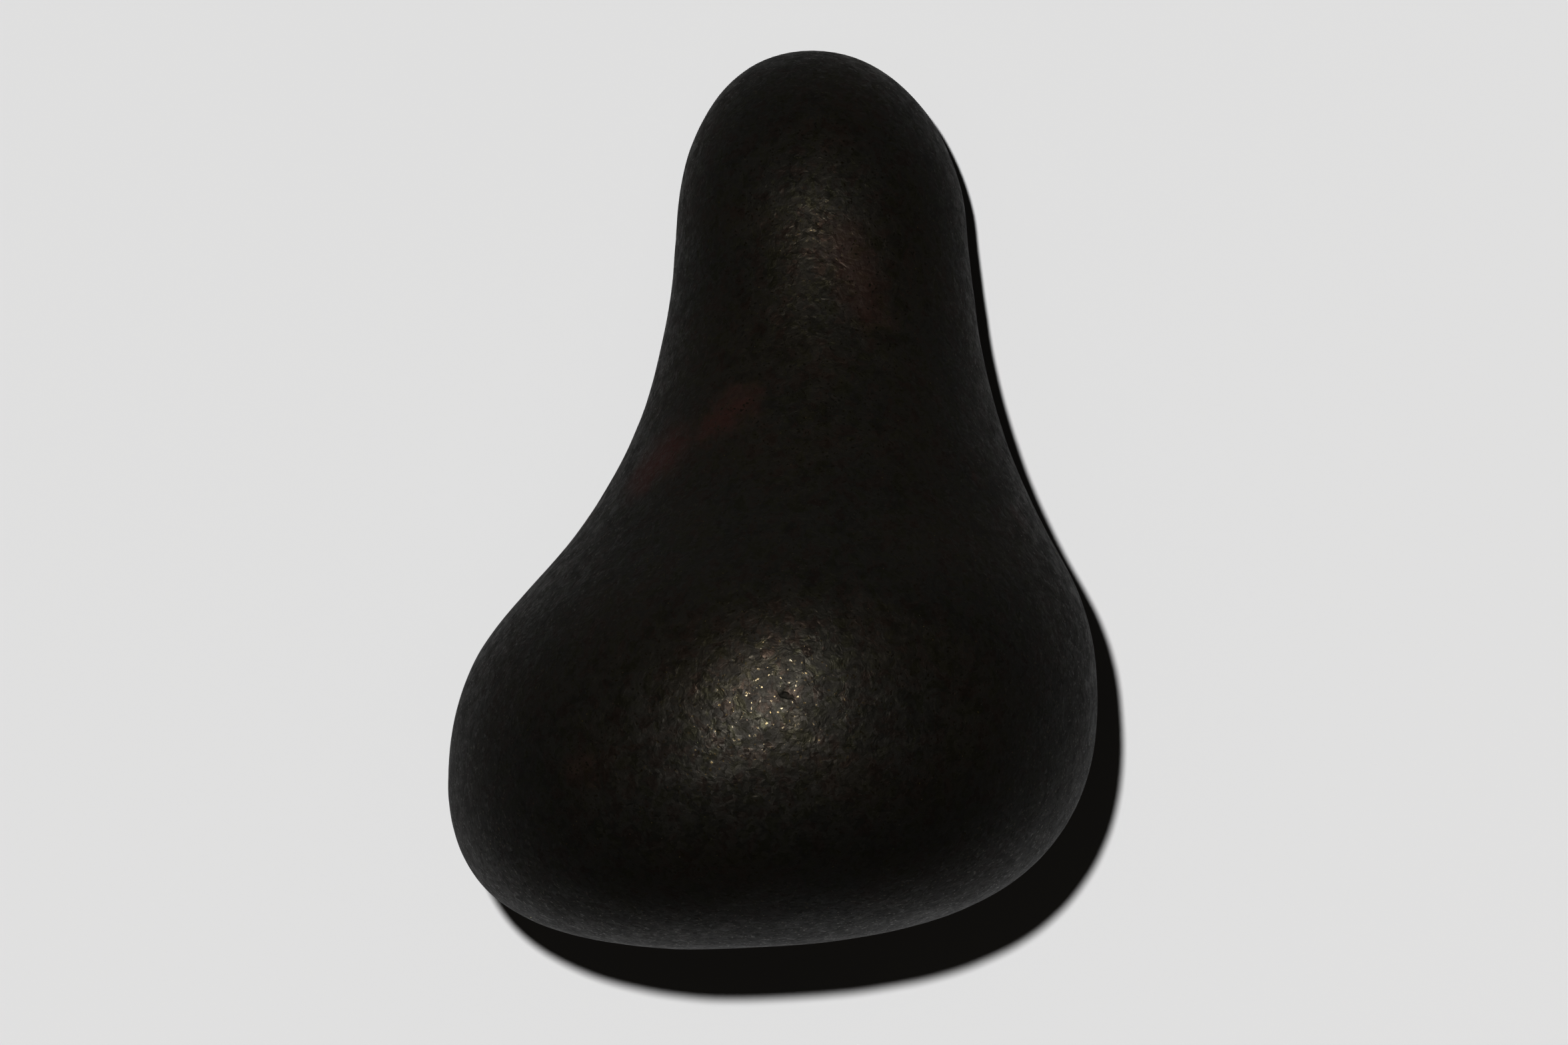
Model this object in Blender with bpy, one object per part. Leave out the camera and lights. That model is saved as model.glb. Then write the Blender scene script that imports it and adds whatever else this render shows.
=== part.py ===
# Basalt massage stone: one pear-shaped stone with a domed base, a round belly and a handle.
# It lies on its side as it would be left on a table: +Z up, the handle's tip towards +Y.
# All sizes are in metres.
import math

import bmesh
import bpy
from mathutils import Matrix, Vector
from mathutils.geometry import interpolate_bezier

OBJECT_NAME = "basalt_massage_stone"
STONE_NAME = "stone_body"

# The outline seen from above. Across is measured from the middle of the belly to the left or the
# right; along is measured from the lowest point of the base. Lean is how far the outline turns in
# from the handle's direction. Reach is how far the outline's handles go before and after a place,
# which sets how full its curve is there.
LENGTH = 0.0997
BASE_ACROSS = -0.0103
BASE_REACH_LEFT = 0.0129
BASE_REACH_RIGHT = 0.0217

BELLY_LEFT = 0.0356
BELLY_LEFT_ALONG = 0.0174
BELLY_LEFT_REACH = (0.0145, 0.0261)
BELLY_RIGHT = 0.0357
BELLY_RIGHT_ALONG = 0.0262
BELLY_RIGHT_REACH = (0.0246, 0.0204)

NECK_LEFT = 0.0109
NECK_LEFT_LEAN = math.radians(2.8)
NECK_LEFT_REACH = (0.0445, 0.0106)
NECK_RIGHT = 0.0220
NECK_RIGHT_LEAN = math.radians(3.4)
NECK_RIGHT_REACH = (0.0397, 0.0095)
NECK_FROM_TIP = 0.0200

TIP_ACROSS = 0.0045
TIP_REACH = 0.0100

# The side view: how far the stone stands above and below its centre line at the belly and at the
# neck. The centre line is level at the belly, droops over a bend, and runs on down to the tip.
BELLY_RISE = 0.0355
BELLY_DEPTH = 0.0290
NECK_RISE = 0.0163
NECK_DEPTH = 0.0132
BEND_ALONG = 0.0583
BEND_SPREAD = 0.0055
BEND_DROOP = 0.0048
TIP_SLOPE = math.radians(6.0)

# The two patches on the underside that are honed flat, in one plane.
HONE_DEPTH = 0.0007

RINGS_PER_SPAN = 15
SPANS = 3
SEGMENTS = 52

STONE_COLOUR = (0.016, 0.0155, 0.014, 1.0)
STONE_ROUGHNESS = 0.48


def clear_scene():
    for item in list(bpy.data.objects):
        bpy.data.objects.remove(item, do_unlink=True)


def new_collection(name):
    collection = bpy.data.collections.new(name)
    bpy.context.scene.collection.children.link(collection)
    return collection


def basalt_material():
    material = bpy.data.materials.new("polished_basalt")
    material.use_nodes = True
    shader = material.node_tree.nodes["Principled BSDF"]
    shader.inputs["Base Color"].default_value = STONE_COLOUR
    shader.inputs["Roughness"].default_value = STONE_ROUGHNESS
    shader.inputs["Metallic"].default_value = 0.0
    return material


def knot(across, along, lean, reach):
    """One place on the outline, as its point and the handles before and after it."""
    point = Vector((across, along, 0.0))
    direction = Vector((math.sin(lean), math.cos(lean), 0.0))
    return point, point - reach[0] * direction, point + reach[1] * direction


def outline_side(knots):
    """The outline's points on one side, from the base to the tip."""
    points = []
    for (start, _, leave), (finish, arrive, _) in zip(knots, knots[1:]):
        points += interpolate_bezier(start, leave, arrive, finish, RINGS_PER_SPAN + 1)[:-1]
    return points + [knots[-1][0]]


def left_side():
    neck_along = LENGTH - NECK_FROM_TIP
    return outline_side([
        knot(BASE_ACROSS, 0.0, math.radians(-90), (0.0, BASE_REACH_LEFT)),
        knot(-BELLY_LEFT, BELLY_LEFT_ALONG, 0.0, BELLY_LEFT_REACH),
        knot(-NECK_LEFT, neck_along, NECK_LEFT_LEAN, NECK_LEFT_REACH),
        knot(TIP_ACROSS, LENGTH, math.radians(90), (TIP_REACH, 0.0)),
    ])


def right_side():
    neck_along = LENGTH - NECK_FROM_TIP
    return outline_side([
        knot(BASE_ACROSS, 0.0, math.radians(90), (0.0, BASE_REACH_RIGHT)),
        knot(BELLY_RIGHT, BELLY_RIGHT_ALONG, 0.0, BELLY_RIGHT_REACH),
        knot(NECK_RIGHT, neck_along, -NECK_RIGHT_LEAN, NECK_RIGHT_REACH),
        knot(TIP_ACROSS, LENGTH, math.radians(-90), (TIP_REACH, 0.0)),
    ])


def ease(value):
    """Goes smoothly from 0 to 1, and stays there."""
    t = min(max(value, 0.0), 1.0)
    return t * t * (3.0 - 2.0 * t)


def centre_line_height(along):
    """Level at the belly, then a smooth bend down and an even slope on to the tip."""
    t = (along - BEND_ALONG) / BEND_SPREAD
    drop = BEND_DROOP / (1.0 + math.exp(-t))
    return -drop - math.tan(TIP_SLOPE) * BEND_SPREAD * math.log1p(math.exp(t))


def stone_rings():
    """Each ring's centre, its half width as a vector, and how far it stands above and below."""
    belly_half_width = (BELLY_LEFT + BELLY_RIGHT) / 2
    neck_half_width = (NECK_LEFT + NECK_RIGHT) / 2
    belly_along = (BELLY_LEFT_ALONG + BELLY_RIGHT_ALONG) / 2
    neck_along = LENGTH - NECK_FROM_TIP
    rings = []
    for left, right in zip(left_side(), right_side()):
        centre = (left + right) / 2
        half = (right - left) / 2
        neckness = ease((centre.y - belly_along) / (neck_along - belly_along))
        rise = half.length * ((1 - neckness) * BELLY_RISE / belly_half_width
                              + neckness * NECK_RISE / neck_half_width)
        depth = half.length * ((1 - neckness) * BELLY_DEPTH / belly_half_width
                               + neckness * NECK_DEPTH / neck_half_width)
        centre.z = centre_line_height(centre.y)
        rings.append((centre, half, rise, depth))
    return rings


def resting_tilt(rings):
    """The turn that brings the undersides of the belly and the neck level with each other."""
    underside = [(centre.y, centre.z - depth) for centre, _, _, depth in rings]
    weights = [half.length * (rise + depth) for _, half, rise, depth in rings]
    balance = sum(w * y for w, (y, _) in zip(weights, underside)) / sum(weights)
    hull = []
    for y, z in sorted(underside):
        while len(hull) > 1:
            (y0, z0), (y1, z1) = hull[-2:]
            if (y1 - y0) * (z - z0) > (z1 - z0) * (y - y0):
                break
            hull.pop()
        hull.append((y, z))
    for (y0, z0), (y1, z1) in zip(hull, hull[1:]):
        if y1 >= balance:
            return math.atan2(z1 - z0, y1 - y0)
    return 0.0


def stone_mesh():
    """A ball whose poles are the base and the tip, with each of its rings set to the stone's."""
    rings = stone_rings()
    last_ring = RINGS_PER_SPAN * SPANS
    mesh = bmesh.new()
    bmesh.ops.create_uvsphere(mesh, u_segments=SEGMENTS, v_segments=last_ring, radius=1.0)
    for vertex in mesh.verts:
        x, y, z = vertex.co
        ring = round(math.acos(max(-1.0, min(1.0, -z))) / math.pi * last_ring)
        centre, half, rise, depth = rings[ring]
        angle = math.atan2(-y, x)
        height = (rise if angle > 0 else depth) * math.sin(angle)
        vertex.co = centre + half * math.cos(angle) + Vector((0.0, 0.0, height))
    lay_down(mesh, resting_tilt(rings))
    data = bpy.data.meshes.new(STONE_NAME)
    mesh.to_mesh(data)
    mesh.free()
    data.shade_smooth()
    return data


def lay_down(mesh, tilt):
    """Turns the stone onto its underside, with the plane of its honed patches at height 0."""
    bmesh.ops.transform(mesh, matrix=Matrix.Rotation(-tilt, 4, "X"), verts=mesh.verts)
    lows = [min(v.co[axis] for v in mesh.verts) for axis in range(3)]
    highs = [max(v.co[axis] for v in mesh.verts) for axis in range(3)]
    middle = Vector(((lows[0] + highs[0]) / 2, (lows[1] + highs[1]) / 2, lows[2] + HONE_DEPTH))
    bmesh.ops.translate(mesh, vec=-middle, verts=mesh.verts)


def hone_cutter(collection):
    """A block whose top face is the plane that the two patches are honed to."""
    side = 3 * LENGTH
    bpy.ops.mesh.primitive_cube_add(size=side, location=(0.0, 0.0, -side / 2))
    cutter = bpy.context.object
    cutter.name = "hone_cutter"
    for other in list(cutter.users_collection):
        other.objects.unlink(cutter)
    collection.objects.link(cutter)
    cutter.hide_render = True
    cutter.display_type = "WIRE"
    return cutter


def build_stone(parts, cutters):
    stone = bpy.data.objects.new(STONE_NAME, stone_mesh())
    parts.objects.link(stone)
    stone.data.materials.append(basalt_material())
    hone = stone.modifiers.new("hone_underside", "BOOLEAN")
    hone.operation = "DIFFERENCE"
    hone.solver = "EXACT"
    hone.object = hone_cutter(cutters)
    return stone


clear_scene()
build_stone(new_collection(OBJECT_NAME), new_collection("cutters"))
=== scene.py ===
import math

import bmesh
import bpy
import numpy as np
from mathutils import Matrix, Vector


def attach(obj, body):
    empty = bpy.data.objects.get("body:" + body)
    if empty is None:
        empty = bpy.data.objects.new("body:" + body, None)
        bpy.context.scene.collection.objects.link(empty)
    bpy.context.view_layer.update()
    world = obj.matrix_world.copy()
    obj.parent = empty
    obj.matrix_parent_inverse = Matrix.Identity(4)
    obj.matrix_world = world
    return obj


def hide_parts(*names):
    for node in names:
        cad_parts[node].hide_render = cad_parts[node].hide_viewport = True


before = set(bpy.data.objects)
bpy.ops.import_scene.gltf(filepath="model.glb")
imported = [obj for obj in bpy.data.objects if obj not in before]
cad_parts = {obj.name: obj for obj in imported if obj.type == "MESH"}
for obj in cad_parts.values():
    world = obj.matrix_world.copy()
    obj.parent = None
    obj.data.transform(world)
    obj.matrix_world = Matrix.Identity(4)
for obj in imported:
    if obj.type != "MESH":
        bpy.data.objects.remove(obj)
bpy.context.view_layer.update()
print("frame loaded:", len(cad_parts), "solid")

# A basalt massage stone, lying on a pale floor. Sizes are in metres, +Z is up and the handle
# points to +Y. The stone is made here again with a finer mesh than the solid that it stands for.


def addNode(tree, kind, inputs=None, **settings):
    node = tree.nodes.new(kind)
    for name, value in settings.items():
        setattr(node, name, value)
    for key, value in (inputs or {}).items():
        feed(tree, node.inputs[key], value)
    return node


def feed(tree, socket, value):
    if isinstance(value, bpy.types.NodeSocket):
        tree.links.new(value, socket)
    else:
        socket.default_value = value


def calc(tree, operation, first, second=0.0, third=0.0, clamp=False):
    node = addNode(tree, "ShaderNodeMath", operation=operation, use_clamp=clamp)
    for socket, value in zip(node.inputs, (first, second, third)):
        feed(tree, socket, value)
    return node.outputs[0]


def vectorCalc(tree, operation, first, second=None, scale=None):
    node = addNode(tree, "ShaderNodeVectorMath", operation=operation)
    feed(tree, node.inputs[0], first)
    if second is not None:
        feed(tree, node.inputs[1], second)
    if scale is not None:
        feed(tree, node.inputs["Scale"], scale)
    givesNumber = operation in ("DOT_PRODUCT", "LENGTH", "DISTANCE")
    return node.outputs["Value" if givesNumber else "Vector"]


def split(tree, vector):
    return addNode(tree, "ShaderNodeSeparateXYZ", {0: vector}).outputs


def join(tree, x, y, z):
    return addNode(tree, "ShaderNodeCombineXYZ", {0: x, 1: y, 2: z}).outputs[0]


def spread(tree, value, low, high, toLow=0.0, toHigh=1.0):
    # moves a value smoothly from one range to another, and holds it there
    node = addNode(tree, "ShaderNodeMapRange", {
        "Value": value, "From Min": low, "From Max": high, "To Min": toLow, "To Max": toHigh},
        interpolation_type="SMOOTHSTEP")
    return node.outputs["Result"]


def noise(tree, where, size, detail=2.0, roughness=0.5, seedShift=None):
    if seedShift is not None:
        where = vectorCalc(tree, "ADD", where, seedShift)
    given = isinstance(size, bpy.types.NodeSocket)
    scale = calc(tree, "DIVIDE", 1.0, size) if given else 1.0 / size
    node = addNode(tree, "ShaderNodeTexNoise", {
        "Vector": where, "Scale": scale, "Detail": detail, "Roughness": roughness})
    return node.outputs["Fac"]


def wobble(tree, where, perMetre, detail=2.0):
    # a smooth random push, up to about half a unit to each side
    node = addNode(tree, "ShaderNodeTexNoise", {
        "Vector": where, "Scale": perMetre, "Detail": detail})
    return vectorCalc(tree, "SUBTRACT", node.outputs["Color"], (0.5, 0.5, 0.5))


def pushed(tree, where, push, amount):
    return vectorCalc(tree, "ADD", where, vectorCalc(tree, "SCALE", push, scale=amount))


def mixColour(tree, amount, first, second, blend="MIX"):
    node = addNode(tree, "ShaderNodeMix", data_type="RGBA", blend_type=blend)
    feed(tree, node.inputs[0], amount)
    feed(tree, node.inputs[6], first)
    feed(tree, node.inputs[7], second)
    return node.outputs[2]


def mixNumber(tree, amount, first, second):
    return calc(tree, "MULTIPLY_ADD", calc(tree, "SUBTRACT", second, first), amount, first)


# the stone's shape
stoneShape = {
    "length": 0.0997,                      # from the base to the tip, before it is laid down
    "baseAcross": -0.0103,                 # where the base is lowest, left of the middle
    "baseReachLeft": 0.0129,
    "baseReachRight": 0.0217,
    "bellyLeft": 0.0356,
    "bellyLeftAlong": 0.0174,
    "bellyLeftReach": (0.0145, 0.0261),
    "bellyRight": 0.0357,
    "bellyRightAlong": 0.0262,
    "bellyRightReach": (0.0246, 0.0204),
    "neckLeft": 0.0109,
    "neckLeftLean": math.radians(2.8),
    "neckLeftReach": (0.0445, 0.0106),
    "neckRight": 0.0220,
    "neckRightLean": math.radians(3.4),
    "neckRightReach": (0.0397, 0.0095),
    "neckFromTip": 0.0200,
    "tipAcross": 0.0045,
    "tipReach": 0.0100,
    "bellyRise": 0.0355,                   # above and below the centre line
    "bellyDepth": 0.0290,
    "neckRise": 0.0163,
    "neckDepth": 0.0132,
    "bendAlong": 0.0583,                   # where the centre line bends down to the handle
    "bendSpread": 0.0055,
    "bendDroop": 0.0048,
    "tipSlope": math.radians(6.0),
    "honeDepth": 0.0007,                   # how deep the two resting patches are rubbed flat
    "coarseRings": 46,                     # rings of the solid, which set how it lies
    "cellsPerSide": 126,                   # each side of the blank has this many cells
    "moreRowsOnBelly": 0.35,               # lower puts more of the rows on the belly
    "tableSteps": 1201,                    # how finely the rows' places are worked out
}


def knot(across, along, lean, reach):
    # a place on the outline, with the handles before and after it
    point = np.array((across, along))
    heading = np.array((math.sin(lean), math.cos(lean)))
    return point, point - reach[0] * heading, point + reach[1] * heading


def outlineKnots(s):
    neckAlong = s["length"] - s["neckFromTip"]
    quarter = math.radians(90.0)
    left = [knot(s["baseAcross"], 0.0, -quarter, (0.0, s["baseReachLeft"])),
            knot(-s["bellyLeft"], s["bellyLeftAlong"], 0.0, s["bellyLeftReach"]),
            knot(-s["neckLeft"], neckAlong, s["neckLeftLean"], s["neckLeftReach"]),
            knot(s["tipAcross"], s["length"], quarter, (s["tipReach"], 0.0))]
    right = [knot(s["baseAcross"], 0.0, quarter, (0.0, s["baseReachRight"])),
             knot(s["bellyRight"], s["bellyRightAlong"], 0.0, s["bellyRightReach"]),
             knot(s["neckRight"], neckAlong, -s["neckRightLean"], s["neckRightReach"]),
             knot(s["tipAcross"], s["length"], -quarter, (s["tipReach"], 0.0))]
    return left, right


def alongOutline(knots, t):
    # the outline's place at t, which goes from 0 at the base to 1 at the tip
    spans = len(knots) - 1
    span = np.minimum((t * spans).astype(int), spans - 1)
    u = (t * spans - span)[:, None]
    starts = np.array([k[0] for k in knots])
    arrives = np.array([k[1] for k in knots])
    leaves = np.array([k[2] for k in knots])
    return ((1 - u) ** 3 * starts[span] + 3 * (1 - u) ** 2 * u * leaves[span]
            + 3 * (1 - u) * u ** 2 * arrives[span + 1] + u ** 3 * starts[span + 1])


def centreLineHeight(s, along):
    # level at the belly, then a smooth bend down and an even slope on to the tip
    t = (along - s["bendAlong"]) / s["bendSpread"]
    drop = s["bendDroop"] / (1.0 + np.exp(-t))
    return -drop - math.tan(s["tipSlope"]) * s["bendSpread"] * np.log1p(np.exp(t))


def sections(s, t):
    # the centre, the half width and the heights above and below of the section at each t
    leftKnots, rightKnots = outlineKnots(s)
    left, right = alongOutline(leftKnots, t), alongOutline(rightKnots, t)
    centre = (left + right) / 2
    half = (right - left) / 2
    width = np.hypot(half[:, 0], half[:, 1])
    bellyWidth = (s["bellyLeft"] + s["bellyRight"]) / 2
    neckWidth = (s["neckLeft"] + s["neckRight"]) / 2
    bellyAlong = (s["bellyLeftAlong"] + s["bellyRightAlong"]) / 2
    neckAlong = s["length"] - s["neckFromTip"]
    neckness = np.clip((centre[:, 1] - bellyAlong) / (neckAlong - bellyAlong), 0.0, 1.0)
    neckness = neckness ** 2 * (3 - 2 * neckness)
    bellyness = 1 - neckness
    rise = width * (bellyness * s["bellyRise"] / bellyWidth
                    + neckness * s["neckRise"] / neckWidth)
    depth = width * (bellyness * s["bellyDepth"] / bellyWidth
                     + neckness * s["neckDepth"] / neckWidth)
    centre = np.column_stack((centre, centreLineHeight(s, centre[:, 1])))
    return centre, half, width, rise, depth


def restingTilt(s):
    # the turn that brings the undersides of the belly and the neck level with each other
    centre, _, width, rise, depth = sections(s, np.linspace(0.0, 1.0, s["coarseRings"]))
    along, low = centre[:, 1], centre[:, 2] - depth
    weight = width * (rise + depth)
    balance = (weight * along).sum() / weight.sum()
    hull = []
    for place in sorted(zip(along, low)):
        while len(hull) > 1:
            (y0, z0), (y1, z1) = hull[-2:]
            if (y1 - y0) * (place[1] - z0) > (z1 - z0) * (place[0] - y0):
                break
            hull.pop()
        hull.append(place)
    for (y0, z0), (y1, z1) in zip(hull, hull[1:]):
        if y1 >= balance:
            return math.atan2(z1 - z0, y1 - y0)
    return 0.0


def latitudeTable(s):
    # rows of the blank go closer together where the stone is wide
    t = np.linspace(0.0, 1.0, s["tableSteps"])
    centre, half, width, _, _ = sections(s, t)
    sides = np.concatenate((centre[:, :2] - half, centre[:, :2] + half), axis=1)
    steps = np.diff(sides, axis=0)
    length = (np.hypot(steps[:, 0], steps[:, 1]) + np.hypot(steps[:, 2], steps[:, 3])) / 2
    widths = (width[1:] + width[:-1]) / 2
    share = length * (s["moreRowsOnBelly"] + widths / widths.max())
    gathered = np.concatenate(((0.0,), np.cumsum(share)))
    return gathered / gathered[-1], t


def stoneBlank(s):
    # a finely divided cube pushed out to a ball, then drawn to the stone's sections
    blank = bmesh.new()
    bmesh.ops.create_cube(blank, size=2.0)
    bmesh.ops.subdivide_edges(
        blank, edges=blank.edges, cuts=s["cellsPerSide"] - 1, use_grid_fill=True)
    ball = np.tan(np.array([v.co for v in blank.verts]) * math.pi / 4)
    ball /= np.linalg.norm(ball, axis=1)[:, None]
    fraction = np.arcsin(np.clip(ball[:, 1], -1.0, 1.0)) / math.pi + 0.5
    gathered, t = latitudeTable(s)
    centre, half, _, rise, depth = sections(s, np.interp(fraction, gathered, t))
    girth = np.maximum(np.hypot(ball[:, 0], ball[:, 2]), 1e-9)    # never zero at the two ends
    across, up = ball[:, 0] / girth, ball[:, 2] / girth
    points = centre.copy()
    points[:, :2] += half * across[:, None]
    points[:, 2] += np.where(up > 0, rise, depth) * up
    turn = np.array(Matrix.Rotation(-restingTilt(s), 3, "X"))
    points = points @ turn.T
    low, high = points.min(axis=0), points.max(axis=0)
    points -= ((low[0] + high[0]) / 2, (low[1] + high[1]) / 2, low[2] + s["honeDepth"])
    points[:, 2] = np.maximum(points[:, 2], 0.0)
    for vertex, point in zip(blank.verts, points):
        vertex.co = point
    mesh = bpy.data.meshes.new("polishedStone")
    blank.to_mesh(mesh)
    blank.free()
    mesh.shade_smooth()
    return mesh


# wear of the stone's surface, as geometry
stoneWear = {
    "Swell Size": 0.017,                   # wide, low unevenness left by rubbing by hand
    "Swell Height": 0.00022,
    "Ripple Size": 0.0055,
    "Ripple Height": 0.00006,
    "Pit Spacing": 0.0026,
    "Pit Width": 0.00075,
    "Pit Depth": 0.00007,
    "Pit Patch Size": 0.012,
    "Hollow Place": (0.0015, -0.0142, 0.0621),
    "Hollow Width": 0.0012,
    "Hollow Depth": 0.00022,
    "Hollow Stretch": (1.0, 2.2, 1.0),     # higher makes it narrower in that direction
    "Hollow Raggedness": 2.4,
    "Rags Per Metre": 1400.0,
    "Shoulder Place": (0.0010, -0.0042, 0.0570),    # the belly is a little fuller at the waist
    "Shoulder Width": 0.0100,
    "Shoulder Height": 0.00145,
    "Brow Place": (0.0000, -0.0340, 0.0575),        # and a little slacker towards the base
    "Brow Width": 0.0080,
    "Brow Height": -0.00130,
    "Tip Place": (0.0050, 0.0375, 0.0290),          # the handle is fuller towards its tip
    "Tip Width": 0.0050,
    "Tip Height": 0.00020,
    "Seed": 7,
}


def newGeometryTree(name, sizes):
    # a tree with a named input for each size, then one for the material
    tree = bpy.data.node_groups.new(name, "GeometryNodeTree")
    kinds = {int: "NodeSocketInt", float: "NodeSocketFloat", tuple: "NodeSocketVector"}
    tree.interface.new_socket("Geometry", in_out="INPUT", socket_type="NodeSocketGeometry")
    for key, value in sizes.items():
        tree.interface.new_socket(
            key, in_out="INPUT", socket_type=kinds[type(value)]).default_value = value
    tree.interface.new_socket("Material", in_out="INPUT", socket_type="NodeSocketMaterial")
    tree.interface.new_socket("Geometry", in_out="OUTPUT", socket_type="NodeSocketGeometry")
    return tree, tree.nodes.new("NodeGroupInput"), tree.nodes.new("NodeGroupOutput")


def wearTree():
    tree, given, result = newGeometryTree("stoneWear", stoneWear)
    size = given.outputs
    where = addNode(tree, "GeometryNodeInputPosition").outputs[0]
    outwards = addNode(tree, "GeometryNodeInputNormal").outputs[0]
    place = pushed(tree, where, (0.37, 0.61, 0.23), size["Seed"])

    # swells and ripples; their noise goes half a step to each side, so the heights are doubled
    height = 0.0
    for part, detail in (("Swell", 1.0), ("Ripple", 2.0)):
        wave = calc(tree, "SUBTRACT", noise(tree, place, size[part + " Size"], detail), 0.5)
        step = calc(tree, "MULTIPLY", size[part + " Height"], 2.0)
        height = calc(tree, "MULTIPLY_ADD", wave, step, height)

    # broad places where the stone is fuller or slacker
    for part in ("Shoulder", "Brow", "Tip"):
        away = vectorCalc(tree, "DISTANCE", where, size[part + " Place"])
        steps = calc(tree, "DIVIDE", away, size[part + " Width"])
        squared = calc(tree, "MULTIPLY", steps, steps)
        share = calc(tree, "EXPONENT", calc(tree, "MULTIPLY", squared, -0.5))
        height = calc(tree, "MULTIPLY_ADD", share, size[part + " Height"], height)

    # pits: one in each cell of a random pattern, most of them too small to show
    cells = addNode(tree, "ShaderNodeTexVoronoi", {
        "Vector": place, "Scale": calc(tree, "DIVIDE", 1.0, size["Pit Spacing"])})
    chance = split(tree, cells.outputs["Color"])[0]
    widest = calc(tree, "DIVIDE", size["Pit Width"], size["Pit Spacing"])
    width = calc(tree, "MULTIPLY", calc(tree, "POWER", chance, 2.0), widest)
    bottom = calc(tree, "MULTIPLY", width, 0.25)
    pit = spread(tree, cells.outputs["Distance"], bottom, width, 1.0, 0.0)
    patches = noise(tree, place, size["Pit Patch Size"], 1.0)
    depth = calc(tree, "MULTIPLY", spread(tree, patches, 0.42, 0.62, 0.25, 1.0),
                 size["Pit Depth"])
    height = calc(tree, "SUBTRACT", height, calc(tree, "MULTIPLY", pit, depth))

    # one larger hollow with a ragged edge, near the top of the belly
    rags = wobble(tree, place, size["Rags Per Metre"])
    raggedness = calc(tree, "MULTIPLY", size["Hollow Width"], size["Hollow Raggedness"])
    shifted = pushed(tree, where, rags, raggedness)
    fromHollow = vectorCalc(tree, "SUBTRACT", shifted, size["Hollow Place"])
    away = vectorCalc(
        tree, "LENGTH", vectorCalc(tree, "MULTIPLY", fromHollow, size["Hollow Stretch"]))
    bottom = calc(tree, "MULTIPLY", size["Hollow Width"], 0.2)
    hollow = spread(tree, away, bottom, size["Hollow Width"], 1.0, 0.0)
    hollow = calc(tree, "MULTIPLY", hollow, size["Hollow Depth"])
    height = calc(tree, "SUBTRACT", height, hollow)

    worn = addNode(tree, "GeometryNodeSetPosition", {
        "Geometry": size["Geometry"],
        "Offset": vectorCalc(tree, "SCALE", outwards, scale=height)})
    # the two resting patches stay rubbed flat at height 0
    x, y, z = split(tree, where)
    honed = addNode(tree, "GeometryNodeSetPosition", {
        "Geometry": worn.outputs[0], "Position": join(tree, x, y, calc(tree, "MAXIMUM", z, 0.0))})
    real = addNode(tree, "GeometryNodeRealizeInstances", {0: honed.outputs[0]})
    coated = addNode(tree, "GeometryNodeSetMaterial", {
        "Geometry": real.outputs[0], "Material": size["Material"]})
    feed(tree, result.inputs[0], coated.outputs[0])
    return tree


def throughTree(name, mesh, tree, values):
    # runs a mesh through a node tree and gives back the result as a plain object
    source = bpy.data.objects.new(name, mesh)
    bpy.context.scene.collection.objects.link(source)
    modifier = source.modifiers.new("made by nodes", "NODES")
    modifier.node_group = tree
    for item in tree.interface.items_tree:
        if item.in_out == "INPUT" and item.name in values:
            modifier[item.identifier] = values[item.name]
    bpy.context.view_layer.update()
    graph = bpy.context.evaluated_depsgraph_get()
    made = bpy.data.meshes.new_from_object(source.evaluated_get(graph), depsgraph=graph)
    made.name = name
    source.modifiers.remove(modifier)
    source.data = made
    return source


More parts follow.
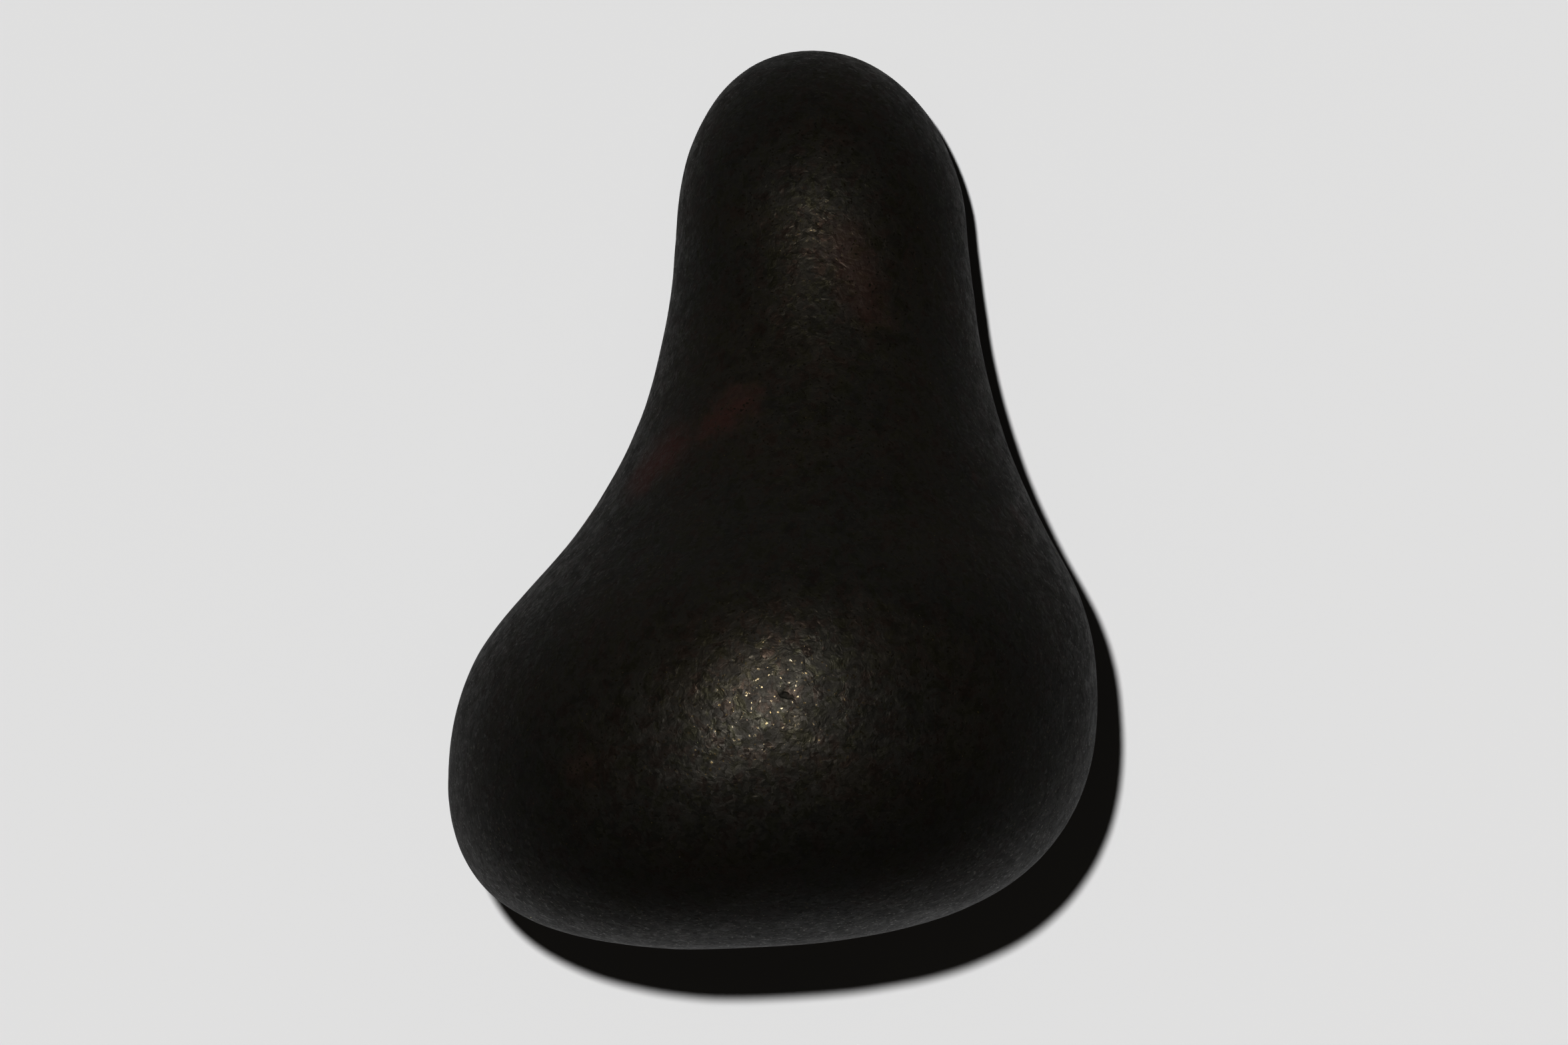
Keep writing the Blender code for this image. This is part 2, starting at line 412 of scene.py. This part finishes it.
# the stone's material
basalt = {
    "swirlsPerMetre": 620.0,               # a slow swirl, so that no pattern lies in rows
    "patternSwirl": 0.0016,
    "grainSwirl": 0.0009,
    "hollowSwirl": 0.0018,
    "dentSize": 0.00085,                   # shallow dents between the grains
    "dentHeight": 0.000092,
    "grainSize": 0.00042,                  # each grain is a small facet
    "grainHeight": 0.0000065,
    "facetSteepness": 8.0,
    "gritSize": 0.00015,
    "gritHeight": 0.0000022,
    "cloudSize": 0.0075,                   # wide clouds and small blotches of darker stone
    "blotchSize": 0.0017,
    "cloudWeight": 0.8,
    "blotchWeight": 0.6,
    "grainWeight": 0.12,
    "shadeRange": (0.55, 1.00),
    "darkColour": (0.0036, 0.0034, 0.0028, 1.0),
    "paleColour": (0.0063, 0.0060, 0.0050, 1.0),
    "mineralRange": (0.35, 0.75),          # lower puts more mineral patches in the stone
    "mineralGrain": 0.25,
    "mineralMetal": 0.68,                  # how much of a mineral patch's sheen is tinted
    "hueSize": 0.0015,
    "oliveTint": (0.0158, 0.0158, 0.0106, 1.0),
    "greyTint": (0.0165, 0.0160, 0.0140, 1.0),
    "pinkTint": (0.0180, 0.0140, 0.0120, 1.0),
    "oliveToGrey": (0.40, 0.47),
    "greyToPink": (0.53, 0.60),
    "castSize": 0.0095,                    # wide clouds lean a little cool or warm
    "castRange": (0.38, 0.62),
    "coolCast": (0.97, 1.00, 1.03, 1.0),
    "warmCast": (1.06, 1.00, 0.94, 1.0),
    "paintedBaseShade": 0.60,                     # painted shade: the colour is darker towards the base, standing in for the shade on the lower belly
    "paintedBaseShadeAlong": (-0.040, 0.015),
    "specularLevel": 0.21,
    "roughness": 0.50,
    "blotchDullness": -0.60,               # how each pattern makes the stone duller or shinier
    "cloudDullness": 0.14,
    "gritDullness": 0.16,
    "wornGrains": (0.965, 0.990),          # a few grains are worn smoother
    "wornRoughness": 0.42,
    "baseEvenness": 0.45,                  # lower makes dents and blotches weaker at the base
    "baseEvennessAlong": (-0.027, -0.014),
    "glintSize": 0.00017,                  # tiny crystals that catch the lamp
    "glintShare": 0.032,
    "glintGold": (0.038, 0.031, 0.018, 1.0),
    "glintPale": (0.034, 0.032, 0.027, 1.0),
    "glintRoughness": 0.33,
    "glintMetal": 0.92,
    "hollowPlace": (0.0015, -0.0142, 0.0621),
    "hollowWidth": 0.0011,
    "hollowDepth": 0.00016,
    "hollowStretch": (1.0, 2.6, 1.0),
    "rustColour": (0.0175, 0.0054, 0.0042, 1.0),
    "smudgesPerMetre": 380.0,
    "smudge": 0.0045,
    # each stain: one end, the other end, half its width, how strong it is
    "rustStains": [((-0.0113, 0.0063, 0.0364), (-0.0138, 0.0041, 0.0357), 0.0041, 1.00),
                   ((-0.0032, 0.0112, 0.0378), (-0.0064, 0.0090, 0.0380), 0.0030, 0.80),
                   ((0.0076, 0.0280, 0.0305), (0.0105, 0.0212, 0.0334), 0.0032, 0.45),
                   ((-0.0198, -0.0017, 0.0302), (-0.0194, -0.0013, 0.0306), 0.0011, 0.60),
                   ((0.0258, -0.0004, 0.0372), (0.0262, -0.0008, 0.0370), 0.0014, 0.50),
                   ((0.0216, 0.0037, 0.0387), (0.0212, 0.0040, 0.0388), 0.0012, 0.35),
                   ((-0.0189, -0.0221, 0.0585), (-0.0180, -0.0228, 0.0590), 0.0020, 0.35)],
    "stainFade": 1.3,                      # how far past its width a stain fades out
}


def rustAmount(tree, where):
    # soft capsules with a cloudy edge, one for each stain
    push = wobble(tree, where, basalt["smudgesPerMetre"], 3.0)
    smudged = pushed(tree, where, push, basalt["smudge"])
    amount = 0.0
    for start, end, width, strength in basalt["rustStains"]:
        along = Vector(end) - Vector(start)
        offset = vectorCalc(tree, "SUBTRACT", smudged, start)
        ahead = vectorCalc(tree, "DOT_PRODUCT", offset, tuple(along))
        share = calc(tree, "DIVIDE", ahead, along.length_squared, clamp=True)
        nearest = vectorCalc(tree, "SCALE", tuple(along), scale=share)
        away = vectorCalc(tree, "DISTANCE", offset, nearest)
        stain = spread(tree, away, 0.0, width * basalt["stainFade"], strength, 0.0)
        amount = calc(tree, "MAXIMUM", amount, stain)
    return amount


def basaltMaterial():
    b = basalt
    material = bpy.data.materials.new("polishedBasalt")
    material.use_nodes = True
    tree = material.node_tree
    shader = tree.nodes["Principled BSDF"]
    where = addNode(tree, "ShaderNodeTexCoord").outputs["Object"]

    swirl = wobble(tree, where, b["swirlsPerMetre"])
    bent = pushed(tree, where, swirl, b["patternSwirl"])
    warped = pushed(tree, where, swirl, b["grainSwirl"])
    dents = noise(tree, bent, b["dentSize"], 2.0, 0.55)
    grit = noise(tree, where, b["gritSize"], 2.0, 0.6)
    cloud = noise(tree, where, b["cloudSize"], 3.0, 0.55)
    blotch = noise(tree, bent, b["blotchSize"], 3.0, 0.6, seedShift=(0.31, 0.17, 0.05))
    grains, crystals = [addNode(tree, "ShaderNodeTexVoronoi", {
        "Vector": warped, "Scale": 1.0 / b[size]}) for size in ("grainSize", "glintSize")]
    grain = split(tree, grains.outputs["Color"])
    crystal = split(tree, crystals.outputs["Color"])

    # colour: clouded near-black, with faint olive, grey and pink mineral patches
    shade = calc(tree, "MULTIPLY", blotch, b["blotchWeight"])
    shade = calc(tree, "MULTIPLY_ADD", cloud, b["cloudWeight"], shade)
    shade = calc(tree, "MULTIPLY_ADD", grain[0], b["grainWeight"], shade)
    shade = spread(tree, shade, *b["shadeRange"])
    colour = mixColour(tree, shade, b["darkColour"], b["paleColour"])
    hue = noise(tree, bent, b["hueSize"], 2.0, 0.5, seedShift=(0.07, 0.43, 0.29))
    mineral = mixColour(tree, spread(tree, hue, *b["oliveToGrey"]), b["oliveTint"], b["greyTint"])
    mineral = mixColour(tree, spread(tree, hue, *b["greyToPink"]), mineral, b["pinkTint"])
    patchy = calc(tree, "MULTIPLY_ADD", grain[1], b["mineralGrain"], blotch)
    mineralShare = spread(tree, patchy, *b["mineralRange"])
    colour = mixColour(tree, mineralShare, colour, mineral)
    drift = noise(tree, where, b["castSize"], 2.0, 0.5, seedShift=(0.51, 0.11, 0.37))
    cast = mixColour(tree, spread(tree, drift, *b["castRange"]), b["coolCast"], b["warmCast"])
    colour = mixColour(tree, 1.0, colour, cast, blend="MULTIPLY")
    along = split(tree, where)[1]
    # painted shade: the colour darkens towards the base, for the shade on the lower belly
    paintedShade = spread(tree, along, *b["paintedBaseShadeAlong"], b["paintedBaseShade"], 1.0)
    colour = vectorCalc(tree, "SCALE", colour, scale=paintedShade)
    rust = rustAmount(tree, where)
    colour = mixColour(tree, rust, colour, b["rustColour"])
    metal = calc(tree, "SUBTRACT", mineralShare, rust, clamp=True)
    metal = calc(tree, "MULTIPLY", metal, b["mineralMetal"])

    # sheen: it varies with the patterns, and a few worn grains are smoother
    uneven = spread(tree, along, *b["baseEvennessAlong"], b["baseEvenness"], 1.0)
    dullness = calc(tree, "MULTIPLY", calc(tree, "SUBTRACT", blotch, 0.5), uneven)
    rough = calc(tree, "MULTIPLY_ADD", dullness, b["blotchDullness"], b["roughness"])
    for pattern, amount in ((cloud, b["cloudDullness"]), (grit, b["gritDullness"])):
        rough = calc(tree, "MULTIPLY_ADD", calc(tree, "SUBTRACT", pattern, 0.5), amount, rough)
    worn = spread(tree, grain[2], *b["wornGrains"])
    rough = mixNumber(tree, worn, rough, b["wornRoughness"])

    # the hollow is dull and has no minerals
    ragged = pushed(tree, where, swirl, b["hollowSwirl"])
    fromHollow = vectorCalc(tree, "SUBTRACT", ragged, b["hollowPlace"])
    away = vectorCalc(
        tree, "LENGTH", vectorCalc(tree, "MULTIPLY", fromHollow, b["hollowStretch"]))
    deep = spread(tree, away, 0.3 * b["hollowWidth"], b["hollowWidth"], 1.0, 0.0)
    outside = calc(tree, "SUBTRACT", 1.0, deep)
    rough = mixNumber(tree, deep, rough, 1.0)
    metal = calc(tree, "MULTIPLY", metal, outside)

    # crystals that glint
    glint = calc(tree, "GREATER_THAN", crystal[0], 1.0 - b["glintShare"])
    glint = calc(tree, "MULTIPLY", glint, outside)
    glintTint = mixColour(tree, crystal[1], b["glintGold"], b["glintPale"])
    colour = mixColour(tree, glint, colour, glintTint)
    metal = mixNumber(tree, glint, metal, b["glintMetal"])
    rough = mixNumber(tree, glint, rough, b["glintRoughness"])

    # relief: grains that are small facets with a tilt of their own, then dents, grit, the hollow
    centre = vectorCalc(tree, "SUBTRACT", warped, grains.outputs["Position"])
    tilt = vectorCalc(tree, "SUBTRACT", grains.outputs["Color"], (0.5, 0.5, 0.5))
    relief = calc(tree, "MULTIPLY", vectorCalc(tree, "DOT_PRODUCT", centre, tilt),
                  b["grainHeight"] / b["grainSize"] * b["facetSteepness"])
    for pattern, amount in ((calc(tree, "MULTIPLY", dents, uneven), b["dentHeight"]),
                            (grit, b["gritHeight"]), (deep, -b["hollowDepth"])):
        relief = calc(tree, "MULTIPLY_ADD", pattern, amount, relief)
    bump = addNode(tree, "ShaderNodeBump", {"Height": relief, "Strength": 1.0, "Distance": 1.0})

    feed(tree, shader.inputs["Base Color"], colour)
    feed(tree, shader.inputs["Metallic"], metal)
    feed(tree, shader.inputs["Roughness"], rough)
    feed(tree, shader.inputs["Normal"], bump.outputs[0])
    shader.inputs["Specular IOR Level"].default_value = b["specularLevel"]
    return material


stone = throughTree("polishedStone", stoneBlank(stoneShape), wearTree(),
                    {**stoneWear, "Material": basaltMaterial()})
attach(stone, "root")
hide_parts("stone_body")
print("stone:", len(stone.data.polygons), "faces")


# mineral flecks set in the surface, and their material
fleckSizes = {
    "Per Square Metre": 130000.0,
    "Lowest": 0.0004,                      # none near the resting patches
    "Smallest": 0.00004,
    "Largest": 0.00009,
    "Thickness": 0.00007,
    "Standing Proud": 0.000008,
    "Tilt": 0.14,
    "Seed": 21,
}

fleckFinish = {
    # each colour: where it starts on a scale from 0 to 1, and its value
    "colours": [(0.00, (0.024, 0.023, 0.019, 1.0)),
                (0.45, (0.042, 0.036, 0.014, 1.0)),
                (0.65, (0.024, 0.030, 0.013, 1.0)),
                (0.80, (0.040, 0.025, 0.020, 1.0)),
                (0.93, (0.060, 0.050, 0.024, 1.0))],
    "mottleSize": 0.00012,
    "mottleColour": (0.020, 0.020, 0.018, 1.0),
    "mottleAmount": 0.5,
    "roughness": (0.22, 0.34),
    "metal": 0.45,
    "specularLevel": 0.15,
    "reliefHeight": 0.00001,
    "reliefStrength": 0.3,
}


def randomNumber(tree, low, high, seed):
    return addNode(tree, "FunctionNodeRandomValue", {
        "Min": low, "Max": high, "Seed": seed}, data_type="FLOAT").outputs[1]


def fleckTree():
    tree, given, result = newGeometryTree("mineralFlecks", fleckSizes)
    size = given.outputs
    height = split(tree, addNode(tree, "GeometryNodeInputPosition").outputs[0])[2]
    points = addNode(tree, "GeometryNodeDistributePointsOnFaces", {
        "Mesh": size["Geometry"], "Density": size["Per Square Metre"], "Seed": size["Seed"],
        "Selection": calc(tree, "GREATER_THAN", height, size["Lowest"])},
        distribute_method="RANDOM")
    chip = addNode(tree, "GeometryNodeMeshCylinder", {
        "Vertices": 5, "Radius": 1.0, "Depth": 1.0}, fill_type="NGON")

    # each chip is turned any way round, and leans a little
    down = calc(tree, "MULTIPLY", size["Tilt"], -1.0)
    lean = addNode(tree, "FunctionNodeRandomValue", {"Seed": size["Seed"]},
                   data_type="FLOAT_VECTOR")
    feed(tree, lean.inputs[0], join(tree, down, down, -math.pi))
    feed(tree, lean.inputs[1], join(tree, size["Tilt"], size["Tilt"], math.pi))
    turned = addNode(tree, "FunctionNodeRotateRotation", {
        "Rotation": points.outputs["Rotation"], "Rotate By": lean.outputs[0]},
        rotation_space="LOCAL")

    seeds = [calc(tree, "ADD", size["Seed"], step) for step in (1.0, 2.0, 3.0)]
    wide, long = [randomNumber(tree, size["Smallest"], size["Largest"], seed)
                  for seed in seeds[:2]]
    tint = randomNumber(tree, 0.0, 1.0, seeds[2])
    halfThick = calc(tree, "MULTIPLY", size["Thickness"], 0.5)
    sunk = calc(tree, "SUBTRACT", size["Standing Proud"], halfThick)
    moved = addNode(tree, "GeometryNodeSetPosition", {
        "Geometry": points.outputs["Points"],
        "Offset": vectorCalc(tree, "SCALE", points.outputs["Normal"], scale=sunk)})
    chips = addNode(tree, "GeometryNodeInstanceOnPoints", {
        "Points": moved.outputs[0], "Instance": chip.outputs["Mesh"],
        "Rotation": turned.outputs[0], "Scale": join(tree, wide, long, size["Thickness"])})
    marked = addNode(tree, "GeometryNodeStoreNamedAttribute", {
        "Geometry": chips.outputs[0], "Name": "fleckTint", "Value": tint},
        data_type="FLOAT", domain="INSTANCE")
    real = addNode(tree, "GeometryNodeRealizeInstances", {0: marked.outputs[0]})
    flat = addNode(tree, "GeometryNodeSetShadeSmooth", {
        "Geometry": real.outputs[0], "Shade Smooth": False})
    coated = addNode(tree, "GeometryNodeSetMaterial", {
        "Geometry": flat.outputs[0], "Material": size["Material"]})
    feed(tree, result.inputs[0], coated.outputs[0])
    return tree


def fleckMaterial():
    f = fleckFinish
    material = bpy.data.materials.new("mineralFleck")
    material.use_nodes = True
    tree = material.node_tree
    shader = tree.nodes["Principled BSDF"]
    tint = addNode(tree, "ShaderNodeAttribute", attribute_name="fleckTint").outputs["Fac"]
    ramp = addNode(tree, "ShaderNodeValToRGB", {"Fac": tint})
    ramp.color_ramp.interpolation = "CONSTANT"
    stops = ramp.color_ramp.elements
    for index, (position, value) in enumerate(f["colours"]):
        stop = stops[index] if index < 2 else stops.new(position)
        stop.position = position
        stop.color = value
    where = addNode(tree, "ShaderNodeTexCoord").outputs["Object"]
    fine = noise(tree, where, f["mottleSize"], 3.0, 0.6)
    mottled = mixColour(tree, calc(tree, "MULTIPLY", fine, f["mottleAmount"]),
                        ramp.outputs["Color"], f["mottleColour"])
    bump = addNode(tree, "ShaderNodeBump", {
        "Height": fine, "Strength": f["reliefStrength"], "Distance": f["reliefHeight"]})
    feed(tree, shader.inputs["Base Color"], mottled)
    feed(tree, shader.inputs["Roughness"], spread(tree, fine, 0.3, 0.7, *f["roughness"]))
    feed(tree, shader.inputs["Normal"], bump.outputs[0])
    shader.inputs["Metallic"].default_value = f["metal"]
    shader.inputs["Specular IOR Level"].default_value = f["specularLevel"]
    return material


flecks = throughTree("mineralFlecks", stone.data.copy(), fleckTree(),
                     {**fleckSizes, "Material": fleckMaterial()})
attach(flecks, "root")
print("flecks:", len(flecks.data.polygons), "faces")


# floor, light and camera
studio = {
    "floorSize": 2.0,                      # half its side
    "floorDrop": 0.0001,                   # how far it is below the stone
    "floorPale": 0.54,
    "floorPalest": 0.93,
    "floorTint": (0.895, 0.962, 1.08),     # evens out the lamp's warm colour
    "floorGlow": 0.26,                     # how much of the floor's brightness the stone picks up
    "floorHiddenGlow": 0.22,                    # and a glow the floor gives off that only the stone sees, which lights its rims where the floor is in shadow
    "frontHiddenGlow": 0.46,                    # the same glow in front of the base
    "frontAlong": (-0.10, -0.02),
    "backdropPale": 0.80,                  # how bright the far floor and the backdrop look
    "keyPlace": (-0.0215, 0.0660, 0.2809),
    "keyRadius": 0.0038,
    "keyPower": 5.07,
    "keyColour": (1.0, 0.93, 0.83),
    "cameraPlace": (0.0012, 0.0361, 0.2862),
    "lens": 54.65,
    "sensorWidth": 36.0,
    "nearest": 0.01,                       # nothing nearer than this is drawn
    "horizonLight": 0.042,
    "horizonHeight": 0.45,                 # how far up the horizon's light reaches
    "topLight": 0.024,
    "fillColour": (1.0, 0.85, 0.66),
    "frontGlow": 1.3,                      # how much brighter the horizon is in front of the base
    "frontGlowRange": (-1.0, 0.2),
    "gamma": 0.75,                         # deepens the darks
}


def makeFloor():
    mesh = bpy.data.meshes.new("floor")
    patch = bmesh.new()
    bmesh.ops.create_grid(patch, x_segments=1, y_segments=1, size=studio["floorSize"])
    bmesh.ops.translate(patch, vec=(0.0, 0.0, -studio["floorDrop"]), verts=patch.verts)
    patch.to_mesh(mesh)
    patch.free()
    floor = bpy.data.objects.new("floor", mesh)
    bpy.context.scene.collection.objects.link(floor)
    material = bpy.data.materials.new("paleFloor")
    material.use_nodes = True
    tree = material.node_tree
    shader = tree.nodes["Principled BSDF"]
    where = addNode(tree, "ShaderNodeTexCoord").outputs["Object"]

    # The lamp's light on the floor fades with (1 + (away / height) ** 2) ** 1.5. The floor grows
    # paler by as much, so that it looks even, and it glows where that runs out.
    x, y, height = studio["keyPlace"]
    away = vectorCalc(tree, "DISTANCE", where, (x, y, 0.0))
    squared = calc(tree, "POWER", calc(tree, "DIVIDE", away, height), 2.0)
    fading = calc(tree, "POWER", calc(tree, "ADD", squared, 1.0), 1.5)
    wanted = calc(tree, "MULTIPLY", fading, studio["floorPale"])
    pale = calc(tree, "MINIMUM", wanted, studio["floorPalest"])
    missing = calc(tree, "SUBTRACT", 1.0, calc(tree, "DIVIDE", pale, wanted), clamp=True)

    # the stone sees a darker floor, so that its rims stay dark
    seen = addNode(tree, "ShaderNodeLightPath").outputs["Is Camera Ray"]
    pale = calc(tree, "MULTIPLY", pale, mixNumber(tree, seen, studio["floorGlow"], 1.0))
    channels = [calc(tree, "MULTIPLY", pale, channel) for channel in studio["floorTint"]]
    tinted = addNode(tree, "ShaderNodeCombineColor", dict(enumerate(channels))).outputs[0]
    # the floor glows for every ray but the camera's, so the stone sees a glow that lights its
    # rims, also where the floor is in shadow
    hiddenGlow = spread(tree, split(tree, where)[1], *studio["frontAlong"],
                   studio["frontHiddenGlow"], studio["floorHiddenGlow"])
    glow = calc(tree, "MULTIPLY", missing, studio["backdropPale"])
    feed(tree, shader.inputs["Base Color"], tinted)
    feed(tree, shader.inputs["Emission Strength"], mixNumber(tree, seen, hiddenGlow, glow))
    shader.inputs["Emission Color"].default_value = (1.0, 1.0, 1.0, 1.0)
    shader.inputs["Roughness"].default_value = 0.9
    shader.inputs["Specular IOR Level"].default_value = 0.0
    mesh.materials.append(material)


def makeKeyLight():
    light = bpy.data.lights.new("keyLight", "POINT")
    light.shadow_soft_size = studio["keyRadius"]
    light.energy = studio["keyPower"]
    light.color = studio["keyColour"]
    lamp = bpy.data.objects.new("keyLight", light)
    lamp.location = studio["keyPlace"]
    bpy.context.scene.collection.objects.link(lamp)


def makeWorld():
    # dark above and paler round the horizon, which lights the stone's rims
    world = bpy.data.worlds.new("studio")
    world.use_nodes = True
    tree = world.node_tree
    direction = addNode(tree, "ShaderNodeTexCoord").outputs["Generated"]
    forward, up = split(tree, direction)[1:]
    horizon = spread(tree, forward, *studio["frontGlowRange"],
                     studio["horizonLight"] * studio["frontGlow"], studio["horizonLight"])
    glow = spread(tree, up, 0.0, studio["horizonHeight"], horizon, studio["topLight"])
    light = vectorCalc(tree, "SCALE", studio["fillColour"], scale=glow)
    backdrop = (studio["backdropPale"],) * 3 + (1.0,)
    seen = addNode(tree, "ShaderNodeLightPath").outputs["Is Camera Ray"]
    shown = mixColour(tree, seen, light, backdrop)
    feed(tree, tree.nodes["Background"].inputs["Color"], shown)
    bpy.context.scene.world = world


def makeCamera():
    camera = bpy.data.objects.new("camera", bpy.data.cameras.new("camera"))
    camera.data.lens = studio["lens"]
    camera.data.sensor_width = studio["sensorWidth"]
    camera.data.clip_start = studio["nearest"]
    camera.location = studio["cameraPlace"]
    camera.rotation_euler = (-restingTilt(stoneShape), 0.0, 0.0)    # square to the stone's outline
    bpy.context.scene.collection.objects.link(camera)
    bpy.context.scene.camera = camera


makeFloor()
makeKeyLight()
makeWorld()
makeCamera()
bpy.context.scene.view_settings.view_transform = "Standard"
bpy.context.scene.view_settings.gamma = studio["gamma"]
print("floor, light and camera placed")
